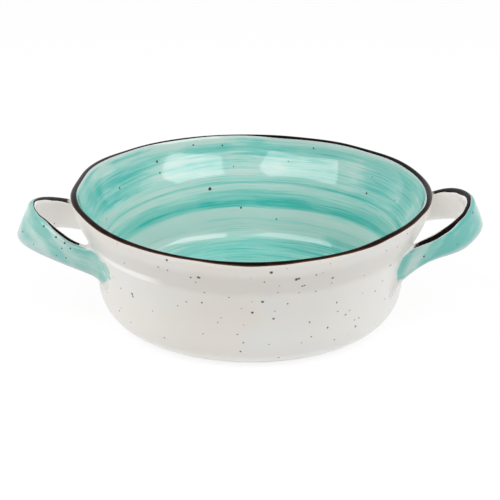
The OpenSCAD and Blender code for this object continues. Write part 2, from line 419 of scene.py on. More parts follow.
def ring_points(frames, radius, walk):
    """Points around a strap. radius holds one value, or one for each place of the walk."""
    top, low, up, out, thin = (part[:, None, :] for part in frames)
    angle, share = walk[..., 0, None], walk[..., 1, None]
    bow = 1 + BOW * np.sin(math.pi * share) * np.cos(angle)
    reach = np.asarray(radius)[..., None] - thin * (1 - share)
    return mix(top, low, share) + reach * (np.sin(angle) * up + np.cos(angle) * bow * out)


def wall_gap(points):
    """Distance from the glazed wall, positive outside it."""
    step = 0.2
    radius, z = np.hypot(points[..., 0], points[..., 1]), points[..., 2]
    slope = (wall_r(z + step) - wall_r(z - step)) / (2 * step)
    return (radius - wall_r(z)) / np.sqrt(1 + slope ** 2)


def line_edge(side, which, turn):
    """Position on the walk of one edge of the brown line, at angles along the strap."""
    seed = LINE_WAVE_SEED + 2 * SIDES[side] + which
    phases = np.random.default_rng(seed).uniform(0, 2 * math.pi, len(LINE_WAVES))
    angle = np.interp(np.degrees(turn), LINE_STOPS, LINE_EDGES[side][which])
    for waves, phase in zip(LINE_WAVES, phases):
        angle = angle + LINE_WAVE_SIZE * np.sin(waves * turn + phase)
    return angle / ARC_STEP


def coat_edges(side, turn):
    """Where the coats meet on the walk: lower edge, both edges of the line, lower edge again."""
    line = [LAP + line_edge(side, which, turn) for which in (0, 1)]
    return [np.full_like(turn, LOW_EDGE), *line, np.full_like(turn, LOW_EDGE + LAP)]


def face_place(side, turn, index):
    """How far a place is from the middle of the strap's outer face, without and with its sign:
    0 in the middle, 1 at the line and at the lower edge, more than 1 on the inner face."""
    span = LAP + line_edge(side, 0, turn) - LOW_EDGE
    walked = (index - LOW_EDGE) % LAP
    inner = np.clip((walked - span) / (LAP - span), 0, 1)
    across = np.where(walked <= span, 2 * walked / span - 1, 1 - 2 * inner)
    away = np.where(walked <= span, np.abs(across), 2 - np.abs(2 * inner - 1))
    return away, across


def paint_places(side, turn, index, points, spread=0):
    """For the paint: distance past the wall, negative on the strap, and both places across it."""
    return np.stack([spread - wall_gap(points), *face_place(side, turn, index)], -1)


def strap_angles(side):
    front, back = (LEGS[side, leg][1] for leg in ("front", "back"))
    return np.radians(np.linspace(-front, back, STRAP_ROWS))


def strap_clay(side):
    rings = ring_points(strap_frames(side, strap_angles(side)), STRAP_R, WALK[None])
    return make_mesh(side + "_strap_clay", rings, tube_faces(*rings.shape[:2]))


def strap_coat(name, side, which, count):
    """One of the coats around a strap, with as many places across it as counted."""
    turn = strap_angles(side)
    frames, edges = strap_frames(side, turn), coat_edges(side, turn)
    index = mix(edges[which][:, None], edges[which + 1][:, None], np.linspace(0, 1, count))
    skin, clay = (ring_points(frames, radius, walk_at(index)) for radius in (SKIN_R, STRAP_R))
    rings = there_and_back(skin, clay)
    index, skin = there_and_back(index, index), there_and_back(skin, skin)
    place = paint_places(side, turn[:, None], index, skin)
    return make_mesh(name, rings, tube_faces(*rings.shape[:2]), {"place": place})


# Joints

def stations(side, start):
    """Frames of a strap from where its joint begins to well inside the wall."""
    turn = np.linspace(start, math.copysign(math.pi / 2, start), TURN_ROWS)
    frames = strap_frames(side, turn)
    push = np.linspace(0, DEEPEST, DEEP_ROWS + 1)[1:, None] * np.array([-SIDES[side], 0, 0])
    deeper = [np.repeat(part[-1:], len(push), 0) for part in frames]
    deeper[0], deeper[1] = deeper[0] + push, deeper[1] + push
    return [np.concatenate(pair) for pair in zip(frames, deeper)]


def meet(rings, gap):
    """For each place around the strap, the point of its path that has the given gap to the wall."""
    gaps = wall_gap(rings)
    number = np.arange(len(rings))
    row = []
    for j, target in enumerate(gap):
        at = np.interp(-target, -gaps[:, j], number)
        row.append([np.interp(at, number, rings[:, j, k]) for k in range(3)])
    return np.array(row)


def joint(side, leg):
    """Clay and glaze worked in around a root, so that the strap flows into the wall."""
    _, begins_at, most_spread, *_ = LEGS[side, leg]
    start = math.radians(begins_at) * {"front": -1, "back": 1}[leg]
    frames = stations(side, start)
    first = ring_points(frames, SKIN_R, WALK[None])[0]
    room = wall_gap(first)
    fillet = np.minimum(most_spread, ROOM_SHARE * room)
    none = 0 * fillet
    # Each row: how much wider than the strap it is, its gap to the wall, and its spread for the paint
    rows = [(none, mix(room, fillet, share), none) for share in LEAD_SHARES]
    for turn in np.radians(np.linspace(90, 0, FILLET_ROWS)):
        spread = fillet * (1 - math.sin(turn))
        rows.append((spread, fillet * (1 - math.cos(turn)) + FILLET_END, spread))
    rows += [(share * fillet, none + height, fillet) for share, height in SUNK_ROWS]
    index = np.arange(LAP, dtype=float)
    rings, place = [first], [paint_places(side, start, index, first, none)]
    for wider, gap, spread in rows:
        rings.append(meet(ring_points(frames, SKIN_R + wider, WALK[None]), gap))
        place.append(paint_places(side, start, index, rings[-1], spread))
    faces = tube_faces(len(rings), LAP)
    return make_mesh(f"{side}_{leg}_root", rings, faces, {"place": place}, SHARP_JOINT)


# Values in materials

class Value:
    """A value inside a material, which adds, multiplies and compares like a number."""

    def __init__(self, socket):
        self.socket = socket
        self.tree = socket.id_data

    def apply(self, kind, other=0):
        node = new_node(self.tree, "Math", self, other)
        node.operation = kind
        return Value(node.outputs[0])

    def __neg__(self):
        return self * -1

    __add__ = __radd__ = partialmethod(apply, "ADD")
    __mul__ = __rmul__ = partialmethod(apply, "MULTIPLY")
    __sub__ = partialmethod(apply, "SUBTRACT")
    __truediv__ = partialmethod(apply, "DIVIDE")
    __lt__ = partialmethod(apply, "LESS_THAN")
    __gt__ = partialmethod(apply, "GREATER_THAN")
    __abs__ = partialmethod(apply, "ABSOLUTE")
    at_least = partialmethod(apply, "MAXIMUM")


def feed(socket, value):
    """Links a value to a socket, or types a plain number, vector or colour into it."""
    if isinstance(value, Value):
        value.tree.links.new(value.socket, socket)
    else:
        socket.default_value = value


def set_inputs(node, values):
    for name, value in values.items():
        feed(node.inputs[name], value)


def new_node(tree, kind, *values):
    """A shader node with its first inputs fed."""
    node = tree.nodes.new("ShaderNode" + kind)
    for socket, value in zip(node.inputs, values):
        feed(socket, value)
    return node


def vector_math(kind, first, second, result="Vector"):
    node = new_node(first.tree, "VectorMath", first, second)
    node.operation = kind
    return Value(node.outputs[result])


def joined(x, y, z):
    return Value(new_node(x.tree, "CombineXYZ", x, y, z).outputs[0])


def parts(vector):
    """The x, y and z of a vector."""
    return [Value(socket) for socket in new_node(vector.tree, "SeparateXYZ", vector).outputs]


def attribute(where, name):
    """The three parts of an attribute that make_mesh stored."""
    node = new_node(where.tree, "Attribute")
    node.attribute_name = name
    return parts(Value(node.outputs["Vector"]))


def ramp(value, low, high, to_low=0, to_high=1):
    """Eases from one result to the other while the value goes from low to high."""
    node = new_node(value.tree, "MapRange", value, low, high, to_low, to_high)
    node.interpolation_type = "SMOOTHSTEP"
    return Value(node.outputs[0])


def band(value, centre, half, soft):
    """1 within half of the centre, falling to 0 over the soft distance."""
    return ramp(abs(value - centre), half, half + soft, 1, 0)


def swing(value, size):
    """A value around one half, such as a noise, turned into one around nought."""
    return (value - 0.5) * size


def blend(share, first, second):
    node = new_node(share.tree, "Mix", share)
    node.data_type = "RGBA"
    feed(node.inputs[6], first)
    feed(node.inputs[7], second)
    return Value(node.outputs[2])


def noise_node(vector, scale, detail, rough):
    node = new_node(vector.tree, "TexNoise")
    set_inputs(node, {"Vector": vector, "Scale": scale, "Detail": detail, "Roughness": rough})
    return node


def noise(vector, scale, detail=2, rough=0.5):
    return Value(noise_node(vector, scale, detail, rough).outputs[0])


def bump(height, strength, distance, normal=None):
    node = new_node(height.tree, "Bump")
    set_inputs(node, {"Height": height, "Strength": strength, "Distance": distance})
    if normal:
        set_inputs(node, {"Normal": normal})
    return Value(node.outputs[0])


def new_material(name):
    """A material with one shader, and its object coordinates in millimetres."""
    material = bpy.data.materials.new(name)
    material.use_nodes = True
    tree = material.node_tree
    tree.nodes.clear()
    shader = new_node(tree, "BsdfPrincipled")
    new_node(tree, "OutputMaterial", Value(shader.outputs[0]))
    place = Value(new_node(tree, "TexCoord").outputs["Object"])
    return material, shader, vector_math("MULTIPLY", place, (1 / MM, 1 / MM, 1 / MM))


# Colours

def rgb(red, green, blue):
    """A colour given in 0 to 255 display values."""
    def one(value):
        share = value / 255
        return share / 12.92 if share <= 0.04045 else ((share + 0.055) / 1.055) ** 2.4
    return (one(red), one(green), one(blue), 1)


WHITE, WARM_WHITE, COOL_WHITE = rgb(225, 223, 218), rgb(225, 220, 212), rgb(220, 222, 222)
# The first is white raised for painted light and highlights, the second the grey of painted shade above
# the crease
BRIGHT, PAINTED_CREASE_SHADE = rgb(252, 251, 248), rgb(196, 190, 184)
SPECK, PALE_SPECK, WELL_SPECK = rgb(78, 44, 28), rgb(146, 114, 94), rgb(46, 44, 32)
# Turquoise from its thinnest to its thickest, in the well and on the straps
WELL_TONES = (rgb(206, 228, 221), rgb(174, 222, 213), rgb(133, 208, 198), rgb(60, 189, 180))
STRAP_TONES = (rgb(184, 214, 208), rgb(160, 206, 197), rgb(126, 194, 184), rgb(88, 182, 173))
SMEAR_COLOUR = STRAP_TONES[1]
# The well's greyer right side and the turquoise's thin edge, in the well and low on the straps
RIGHT_GREY, WELL_EDGE, STRAP_EDGE = rgb(130, 125, 120), rgb(214, 222, 219), rgb(190, 206, 208)
BROWN, RED_BROWN, SIDE_BROWN = rgb(10, 7, 6), rgb(38, 21, 13), rgb(62, 54, 56)
BROWN_EDGE = rgb(110, 66, 40)
CLAY, DARK_CLAY, CLAY_SPECK = rgb(238, 232, 222), rgb(222, 213, 200), rgb(120, 92, 70)

# The larger specks on the outside: angle from the right handle, height, radius
MARKS = ((244.4, 51.8, 0.55), (254.1, 45.7, 0.75), (276.2, 50, 0.75), (284.1, 45.3, 0.8),
         (284.9, 45.6, 0.6), (286.6, 40.9, 0.5), (287.3, 41.2, 0.4), (274.1, 33.3, 0.68),
         (270.8, 27.5, 0.62), (223.5, 26.1, 0.6), (253.5, 31.1, 0.45), (301.4, 27.8, 0.5),
         (291.5, 20.8, 0.45), (298.9, 16.7, 0.48), (306.4, 20.5, 0.45), (302.6, 10.1, 0.42),
         (324.9, 36.9, 0.5), (266.5, 9, 0.45), (237, 10.5, 0.42), (282.6, 31.5, 0.38),
         (290.4, 46.4, 0.42), (296.8, 39.9, 0.38), (274.3, 45, 0.38), (251.5, 45.1, 0.4),
         (252.8, 42.7, 0.36), (263, 35.5, 0.33), (247.8, 30.3, 0.36), (310.5, 38.5, 0.33),
         (328.8, 19.4, 0.36), (213.2, 14.1, 0.36), (70, 44, 0.6), (84, 30, 0.5), (101, 47, 0.45),
         (118, 24, 0.6), (139, 39, 0.5), (57, 20, 0.55), (43, 36, 0.45), (95, 12, 0.4), (128, 50, 0.4),
         (8, 26, 0.5), (176, 33, 0.5), (188, 18, 0.45), (244, 46.7, 0.4), (255, 37, 0.35),
         (244.1, 27.2, 0.35), (278.9, 38.3, 0.35), (302.6, 23.1, 0.35), (292.5, 14.1, 0.38),
         (289, 11.8, 0.3), (253.1, 16.1, 0.35), (267.6, 13.3, 0.35), (265.5, 17, 0.3),
         (216.9, 25.9, 0.38), (220.3, 11.8, 0.35), (258.6, 21.9, 0.3), (259.8, 24.3, 0.3),
         (286, 37.2, 0.3), (291.9, 36.5, 0.35), (313.2, 16.8, 0.35), (325.4, 36.9, 0.38),
         (276.8, 12.5, 0.33), (278.5, 28, 0.3), (267, 29.5, 0.3), (297, 39.9, 0.35), (327.6, 51, 0.4),
         (317.5, 48, 0.35), (323.4, 46.9, 0.35))
# The specks in the well, in the same way
WELL_MARKS = ((106.8, 31.6, 0.85), (111, 50.9, 0.5), (100.4, 49.8, 0.45), (126.4, 46.4, 0.6),
              (126.5, 41.7, 0.45), (38.9, 37.3, 0.6), (94.1, 22.3, 0.5), (67, 50.2, 0.4),
              (78.9, 17.6, 0.4), (39.5, 44.1, 0.35), (148, 41, 0.6), (96.6, 40.6, 0.35), (22, 40, 0.4),
              (165, 34, 0.4), (250, 30, 0.6), (285, 42, 0.5), (305, 22, 0.5), (220, 38, 0.45))
# The specks on the straps: degrees along the strap, place on the walk around it, radius
STRAP_MARKS = {
    "left": ((-17.8, 46.2, 0.65), (-43.8, 55, 0.55), (-57.7, 54.8, 0.5), (-65.8, 55, 0.5),
             (-70.8, 52.8, 0.45), (-62.5, 50, 0.38), (-57.2, 45.4, 0.38), (-65, 46.6, 0.38),
             (-36, 45, 0.38), (30, 49, 0.5), (58, 47, 0.4)),
    "right": ((-22, 52.5, 0.65), (-76, 48.8, 0.5), (-48, 46.5, 0.3), (35, 48, 0.5),
              (62, 50, 0.4)),
}
# Darker and paler brushwork in the well: angle, half width in degrees, height, half height, change
# The paler patch at 118 degrees and 42 high is a painted highlight, where a softbox shows in the well's
# glaze
PATCHES = ((150, 23, 45.2, 1.7, 0.2), (160, 20, 40.4, 2.8, 0.3), (154, 6, 49.6, 1.3, -0.22),
           (26, 15, 43, 4.2, 0.31), (118, 10, 42, 3.4, -0.13), (88, 9, 41.5, 3.4, -0.12),
           (111, 16, 51.6, 1.1, -0.24), (106, 8, 48.7, 1.2, 0.2), (94, 7, 49.8, 2.2, 0.12),
           (70, 14, 47.7, 1.4, 0.12), (38, 20, 48.4, 1.6, 0.06), (155, 22, 35, 1.2, -0.18),
           (96, 8, 43, 2.4, -0.06), (27, 17, 34.4, 0.8, 0.14), (47, 8, 11.8, 1.4, 0.26),
           (137, 18, 22.4, 1, 0.06), (101, 9, 24.4, 0.9, 0.15), (77, 10, 24.8, 1, 0.12),
           (56, 14, 24.6, 2, 0.08), (225, 30, 44, 3, 0.14), (300, 26, 40, 3, 0.14),
           (262, 20, 47, 2, -0.15), (160, 14, 46.5, 2.5, 0.1))
# Darker and paler stretches of a strap's paint: distance past the wall, half length, fade, change
STRAP_PATCHES = {
    "left": ((-14, 1.5, 2.5, 0.22), (-9, 1, 2, -0.08), (-17.8, 1, 2, -0.12),
             (2.5, 1.5, 2, 0.12), (-21, 3, 3, 0.03)),
    "right": ((-13.5, 2.2, 2.5, 0.46), (-9.5, 1.5, 2, 0.06), (-4.6, 0.9, 1.6, -0.26),
              (-0.5, 0.8, 1.2, 0.2), (-18.6, 1.6, 2, 0.22)),
}
# A smear of turquoise on the wall beside the left front joint: angle, height, radius
SMEAR = ((209.3, 32, 3.1), (208.5, 28.6, 2.8), (206.3, 31.5, 3), (205.8, 28, 2.8))
# Rings of brushwork around the whole well: height, half height, fade, change
BANDS = ((24.8, 0.7, 2.5, 0.28), (33.8, 0.2, 0.8, 0.15), (35.6, 0.4, 0.9, -0.12),
         (31.9, 0.6, 1.3, -0.16), (28.8, 1, 2.2, 0.11), (20, 0.8, 1.6, -0.13), (17.5, 4, 3.5, -0.24),
         (6.8, 1.4, 2.4, 0.21))
# How far specks are moved about, and between which shares of their radius they fade
SHAKE, SOFT_EDGE = 0.7, (0.55, 1.15)

# Below, four values for a ramp are where it starts and ends, and what it gives there

# White on the wall, with painted light: brighter low down and towards the sides, but hardly above the
# crease
PAINTED_SIDE_LIGHT, PAINTED_SIDE_LIGHT_H = (0.35, 0.95, 0, 0.36), (33, 41, 1, 0.1)
PAINTED_LOW_LIGHT, PAINTED_FOOT_LIGHT = (4, 18, 0.2, 0), (2, 7, 0.75, 0)
# Painted shade above the crease, less at the sides: height, half height, fade
PAINTED_SHADE_BAND, PAINTED_SHADE_SIDES, PAINTED_SHADE_SHARE = (42.3, 3.2, 4), (0.3, 0.9, 1, 0.5), 0.36
# A painted highlight along the crease at the left: angle, half width in degrees, height, half height
CREASE_HIGHLIGHT, CREASE_HIGHLIGHT_SHARE = (222, 13, 38.2, 1), 0.9

# Brush marks in the well, by size: how often they come around and down it, shift, detail, roughness
STROKES = {"broad": (1.1, 0.1, 3.7, 2, 0.55), "patches": (3.4, 0.22, 31, 2, 0.55),
           "lines": (1.7, 0.85, 11.3, 4, 0.62), "fine": (2.2, 1.9, 23.1, 3, 0.7)}
# Their rings sink at the left by the square of the way there, and rise a little at the right
LEFT_SINK, RIGHT_RISE = 3.4, 0.35
# How thick the coat lies, and how much three kinds of marks change that
MEAN_TONE, BROAD_SHARE, LINE_SHARE, FINE_SHARE = 0.42, 0.5, 0.85, 0.8
# Tones over which each turquoise turns into the next
TONE_STEPS = ((0.22, 0.42), (0.42, 0.62), (0.66, 0.92))
# The coat: patchier above a height, thicker low at the right, thin at the line, greyer at the right
PATCHY_H, PATCHINESS = (37, 41), 0.7
THICK_RIGHT, THICK_RIGHT_H = (-0.4, 0.35, 0, 0.1), (35, 39, 1, 0.2)
THIN_AT_LINE, EDGE_AT_LINE = (0.3, 1.8, -0.25, 0), (0.25, 0.75, 0.85, 0)
GREY_RIGHT = (0, 0.5, 0, 0.11)

# Streaks on a strap: how often they come along and across it, detail, roughness, change
STREAKS = ((0.07, 4.5, 3, 0.6, 0.5), (0.1, 14, 2, 0.6, 0.3))
# Pairs for the right and the left strap. How thick the turquoise lies, where on the outer face it
# starts to round off upward and downward and how steeply, and how far past the wall it reaches
STRAP_TONE = (0.59, 0.44)
TOP_FROM, TOP_SLOPE = (0.5, 0.3), (7, 16)
LOW_FROM, LOW_SLOPE, LOW_MOST = (-0.12, 0.12), (9, 18), 7
PAINT_END = (1.5, 7)
# Where the turquoise stops beside the outer face, and turns pale towards its lower edge
PAINT_SIDES, PALE_LOW = (0.92, 1, 1, 0), (-0.6, -0.24, 0.85, 0)
# How far past the wall the brown lines end, on the front and the back leg, negative on the strap
LINE_ENDS = {"right": (-1, -7.4), "left": (-3.3, -7.2)}
# From where to where they pale towards the back, and how much on the right and the left strap
PALE_BACK_Y, PALE_BACK = (-6, 8), (0.35, 0.95)
# The line over the right front joint, by the place around the strap and past the wall
JOINT_AWAY, JOINT_ACROSS, JOINT_PAST = (0.98, 1.02), (0.68, 0.76), (-1.7, -1.2, 1, 0)
# The rim line pales at the left and the right, partly thinner brown and partly a painted reflection, and
# is redder along its lower edge
RIM_LEFT, RIM_RIGHT, RIM_EDGE = (65, 75), (71, 74.5), (0.1, 0.7, 0.8, 0)


# Specks and strokes

def scattered(where, scale, keep, size):
    """Small uneven dots, one at most in each cell and in a share of the cells, and a tone for each."""
    cells = new_node(where.tree, "TexVoronoi")
    set_inputs(cells, {"Vector": where, "Scale": scale})
    chance, bulk, tone = parts(Value(cells.outputs["Color"]))
    radius = (bulk * bulk + 0.3) * (size * scale)
    dot = ramp(Value(cells.outputs["Distance"]), radius * 0.5, radius, 1, 0)
    return dot * (chance < keep), tone


def spots_at(marks, radius_at):
    """Middles and radii of specks on the wall."""
    return [(uneven(around_axis(radius_at(np.array(height)), height, np.radians(angle))), radius)
            for angle, height, radius in marks]


def strap_spots():
    """Middles and radii of the specks on the straps."""
    spots = []
    for side, marks in STRAP_MARKS.items():
        for degrees, index, radius in marks:
            frames, walk = strap_frames(side, np.radians([degrees])), walk_at(np.array([[index]]))
            spots.append((uneven(ring_points(frames, SKIN_R, walk)[0, 0]), radius))
    return spots


def marked(where, spots):
    """1 on the given specks, 0 elsewhere."""
    total = 0
    for middle, radius in spots:
        far = vector_math("DISTANCE", where, tuple(float(part) for part in middle), "Value")
        inner, outer = (share * radius for share in SOFT_EDGE)
        total = ramp(far, inner, outer, 1, 0).at_least(total)
    return total


def shaken(where):
    """Places moved about a little, so that specks aren't round."""
    wild = Value(noise_node(where, 1.4, 2, 0.5).outputs[1])
    moved = vector_math("ADD", where, vector_math("MULTIPLY", wild, (SHAKE, SHAKE, SHAKE)))
    return vector_math("SUBTRACT", moved, (SHAKE / 2, SHAKE / 2, SHAKE / 2))


def speckled(where, base, spots=()):
    """Many small pale specks and a few dark ones, besides the given spots."""
    wobble = shaken(where)
    small, tone = scattered(wobble, scale=0.36, keep=0.22, size=0.55)
    colour = blend(small * ramp(tone, 0, 1, 0.35, 1), base, PALE_SPECK)
    dark, _ = scattered(wobble, scale=0.22, keep=0.07, size=0.6)
    return blend(dark.at_least(marked(wobble, spots)), colour, SPECK)


def speckled_turquoise(where, colour, spots, keep):
    wobble = shaken(where)
    dots, tone = scattered(wobble, scale=0.3, keep=keep, size=0.5)
    share = (dots * ramp(tone, 0, 1, 0.4, 0.95)).at_least(marked(wobble, spots))
    return blend(share, colour, WELL_SPECK)


def around_bowl(where):
    """Height on the true round bowl, and the way from its axis as the x and y of a unit vector."""
    x, y, z = attribute(where, "form")
    radius = (x * x + y * y).apply("SQRT").at_least(0.5)
    return z, x / radius, y / radius


def patch(unit_x, unit_y, level, angle, width, height, half):
    """A stretch of brushwork around an angle and a height, fading at its ends."""
    way, near, far = np.radians([angle, 0.6 * width, 1.5 * width]).tolist()
    facing = unit_x * math.cos(way) + unit_y * math.sin(way)
    return ramp(facing, math.cos(far), math.cos(near)) * band(level, height, half, 1.3 * half)


def stroke_colour(tone, tones):
    """Turquoise that is darker where the tone is higher."""
    colour, *darker = tones
    for step, shade in zip(TONE_STEPS, darker):
        colour = blend(ramp(tone, *step), colour, shade)
    return colour


# Glazes

def gloss(shader, colour, ripple, roughness=0.1, coat=0.5):
    """A glassy coat over a colour."""
    set_inputs(shader, {"Base Color": colour, "Normal": ripple, "Roughness": roughness, "IOR": 1.5,
                        "Coat Weight": coat, "Coat Roughness": 0.04})


def white_ripples(where):
    broad = bump(noise(where, 0.07, 1), strength=0.35, distance=0.0012)
    return bump(noise(where, 0.9), strength=0.08, distance=0.0002, normal=broad)


def white_base(where):
    """White in warmer and cooler clouds."""
    base = blend(ramp(noise(where, 0.022), 0.38, 0.62), WARM_WHITE, WHITE)
    return blend(ramp(noise(where, 0.05), 0.5, 0.7) * 0.5, base, COOL_WHITE)


def on_wall(where, base):
    """The white around the wall, with painted light at the sides and low down, painted shade above the
    crease and a painted highlight along it at the left.
    """
    z, unit_x, unit_y = around_bowl(where)
    # Painted light: the white is raised towards the sides and low down, towards the foot
    side = ramp(abs(unit_x), *PAINTED_SIDE_LIGHT) * ramp(z, *PAINTED_SIDE_LIGHT_H)
    low = ramp(z, *PAINTED_LOW_LIGHT) + ramp(z, *PAINTED_FOOT_LIGHT)
    base = blend(side + low, base, BRIGHT)
    # Painted shade: a grey band above the crease, where the neck faces down
    wavy_z = z + swing(noise(where, 0.09), 3)
    shade = band(wavy_z, *PAINTED_SHADE_BAND) * ramp(abs(unit_x), *PAINTED_SHADE_SIDES)
    base = blend(shade * PAINTED_SHADE_SHARE, base, PAINTED_CREASE_SHADE)
    # Painted highlight: a bright streak along the crease at the left
    return blend(patch(unit_x, unit_y, z, *CREASE_HIGHLIGHT) * CREASE_HIGHLIGHT_SHARE, base, BRIGHT)


def white_wall_glaze():
    """Speckled white around the wall, with a smear of turquoise beside the left front joint."""
    material, shader, where = new_material("speckled_white_glaze")
    smear = ramp(marked(shaken(where), spots_at(SMEAR, wall_r)), 0.35, 0.55)
    base = blend(smear, on_wall(where, white_base(where)), SMEAR_COLOUR)
    colour = speckled(where, base, spots_at(MARKS, wall_r))
    gloss(shader, colour, white_ripples(where), roughness=0.3, coat=0)
    return material


# The straps' white is brighter than the wall's: painted light on their shaded inner faces
def white_strap_glaze():
    material, shader, where = new_material("white_strap_glaze")
    gloss(shader, speckled(where, BRIGHT), white_ripples(where))
    return material


def strokes(flow, around_scale, down_scale, shift, detail, rough):
    """Brush marks drawn out around the well. flow holds the way from the axis and the way down."""
    unit_x, unit_y, down = flow
    place = joined(unit_x * around_scale, unit_y * around_scale, down * down_scale + shift)
    return noise(place, 1, detail, rough)


def well_tone(z, unit_x, unit_y, from_line, tilt):
    """How thick the turquoise lies in the well, and its finest strokes."""
    flow, level = (unit_x, unit_y, from_line - tilt), z + tilt
    broad, patches, lines, fine = (strokes(flow, *kind) for kind in STROKES.values())
    tone = swing(broad, BROAD_SHARE) + MEAN_TONE + swing(lines, LINE_SHARE) + swing(fine, FINE_SHARE)
    tone += (patches - 0.48) * ramp(level, *PATCHY_H) * PATCHINESS
    for centre, half, soft, gain in BANDS:
        tone += band(level, centre, half, soft) * gain
    drift = z + swing(patches, 5) + swing(lines, 2)
    for *place, gain in PATCHES:
        tone += patch(unit_x, unit_y, drift, *place) * gain
    thicker = ramp(unit_x, *THICK_RIGHT) * ramp(level, *THICK_RIGHT_H)
    return tone + thicker + ramp(from_line, *THIN_AT_LINE), fine


def turquoise_glaze():
    """Turquoise brushed on in turns around the well, darkest in a ring halfway down."""
    material, shader, where = new_material("brushed_turquoise_glaze")
    z, unit_x, unit_y = around_bowl(where)
    from_line = attribute(where, "edge")[0]
    left = (-unit_x).at_least(0)
    tilt = left * left * LEFT_SINK - unit_x * RIGHT_RISE
    tone, fine = well_tone(z, unit_x, unit_y, from_line, tilt)
    colour = stroke_colour(tone, WELL_TONES)
    colour = blend(ramp(unit_x, *GREY_RIGHT), colour, RIGHT_GREY)
    colour = blend(ramp(from_line, *EDGE_AT_LINE), colour, WELL_EDGE)
    colour = speckled_turquoise(where, colour, spots_at(WELL_MARKS, well_r), keep=0.03)
    broad = bump(noise(where, 0.06, 1), strength=0.35, distance=0.0012)
    ripple = bump(fine, strength=0.06, distance=0.0002, normal=broad)
    gloss(shader, colour, ripple, roughness=0.08, coat=0.9)
    set_inputs(shader, {"Specular IOR Level": 0.45})
    return material


def strap_tone(x, y, z, past, across, is_left):
    """How thick the turquoise lies on a strap, in streaks along it."""
    broad = noise(joined(x * 0.05, y * 0.05, across * 0.9 + z * 0.03), 1.3)
    tone = swing(broad, 1) + mix(*STRAP_TONE, is_left)
    for lengthwise, crosswise, detail, rough, gain in STREAKS:
        place = joined(x * lengthwise, y * lengthwise, across * crosswise)
        tone += swing(noise(place, 1, detail, rough), gain)
    here = {"left": is_left, "right": mix(1, 0, is_left)}
    for side, places in STRAP_PATCHES.items():
        for centre, half, soft, gain in places:
            tone += band(past, centre, half, soft) * here[side] * gain
    return tone


def strap_paint(past, away, across, is_left, wobble):
    """1 where a strap is turquoise: rounded off towards the wall, and not on the inner face."""
    top = (across - mix(*TOP_FROM, is_left)).at_least(0) * mix(*TOP_SLOPE, is_left)
    low = (-across - mix(*LOW_FROM, is_left)).at_least(0) * mix(*LOW_SLOPE, is_left)
    reach = past + top + low.apply("MINIMUM", LOW_MOST) - mix(*PAINT_END, is_left) + wobble
    return ramp(reach, -0.5, 0.5, 1, 0) * ramp(away + wobble * 0.03, *PAINT_SIDES)


def line_on_joint(x, y, past, away, across):
    """1 where the brown line runs on over the top of the right front joint."""
    line = ramp(away, *JOINT_AWAY) * ramp(across, *JOINT_ACROSS)
    return line * ramp(past, *JOINT_PAST) * (x > 0) * (y < 0)


def strap_glaze():
    """Turquoise on a strap's outer face, thin at its lower edge, on white."""
    material, shader, where = new_material("brushed_turquoise_strap_glaze")
    x, y, z = parts(where)
    past, away, across = attribute(where, "place")
    is_left = x < 0
    colour = stroke_colour(strap_tone(x, y, z, past, across, is_left), STRAP_TONES)
    colour = speckled_turquoise(where, colour, strap_spots(), keep=0.08)
    colour = blend(ramp(across, *PALE_LOW), colour, STRAP_EDGE)
    painted = strap_paint(past, away, across, is_left, swing(noise(where, 0.5), 1.4))
    colour = blend(painted, speckled(where, white_base(where)), colour)
    colour = blend(line_on_joint(x, y, past, away, across), colour, BROWN)
    ripple = bump(noise(where, 0.12), strength=0.3, distance=0.0007)
    gloss(shader, colour, ripple, roughness=0.1, coat=0.6)
    return material


def brown_base(where):
    return blend(ramp(noise(where, 0.35, 3), 0.45, 0.75), BROWN, RED_BROWN)


def set_brown(shader, where, colour):
    """A duller coat for the brown lines."""
    ripple = bump(noise(where, 0.4), strength=0.25, distance=0.0004)
    set_inputs(shader, {"Base Color": colour, "Roughness": 0.2, "Specular IOR Level": 0.06,
                        "Normal": ripple})


def brown_rim_glaze():
    """Brown on the lip, paler at both sides of the bowl, partly thinner brown and partly a painted
    reflection of the lip there, and redder at its lower edge.
    """
    material, shader, where = new_material("brown_rim_glaze")
    x, y, _ = parts(where)
    left_side, right_side = ramp(y * 0.45 - x, *RIM_LEFT), ramp(x + y * 0.05, *RIM_RIGHT)
    colour = blend(left_side.at_least(right_side), brown_base(where), SIDE_BROWN)
    below = attribute(where, "edge")[0]
    set_brown(shader, where, blend(ramp(below, *RIM_EDGE), colour, BROWN_EDGE))
    return material


def brown_strap_glaze():
    """Brown on the straps' top edges, paler at the back, with white where it ends before the wall."""
    material, shader, where = new_material("brown_strap_glaze")
    x, y, _ = parts(where)
    past = attribute(where, "place")[0]
    is_left, is_back = x < 0, y > 0
    right, left = (mix(*LINE_ENDS[side], is_back) for side in SIDES)
    reach = past + swing(noise(where, 0.6), 0.6) - mix(right, left, is_left)
    painted = ramp(reach, -0.3, 0.3, 1, 0)
    paler = ramp(y, *PALE_BACK_Y) * mix(*PALE_BACK, is_left)
    colour = blend(paler, brown_base(where), SIDE_BROWN)
    set_brown(shader, where, blend(painted, speckled(where, white_base(where)), colour))
    return material


def bare_clay():
    material, shader, where = new_material("bare_stoneware")
    grain = noise(where, 2.2, 5, 0.7)
    dots, _ = scattered(where, scale=0.6, keep=0.25, size=0.5)
    colour = blend(dots, blend(ramp(grain, 0.35, 0.7), CLAY, DARK_CLAY), CLAY_SPECK)
    rough = bump(grain, strength=0.5, distance=0.0003)
    set_inputs(shader, {"Base Color": colour, "Roughness": 0.85, "Normal": rough})
    return material


# Assembly

def dress(obj, node, material):
    obj.data.materials.append(material)
    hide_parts(node)
    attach(obj, "root")


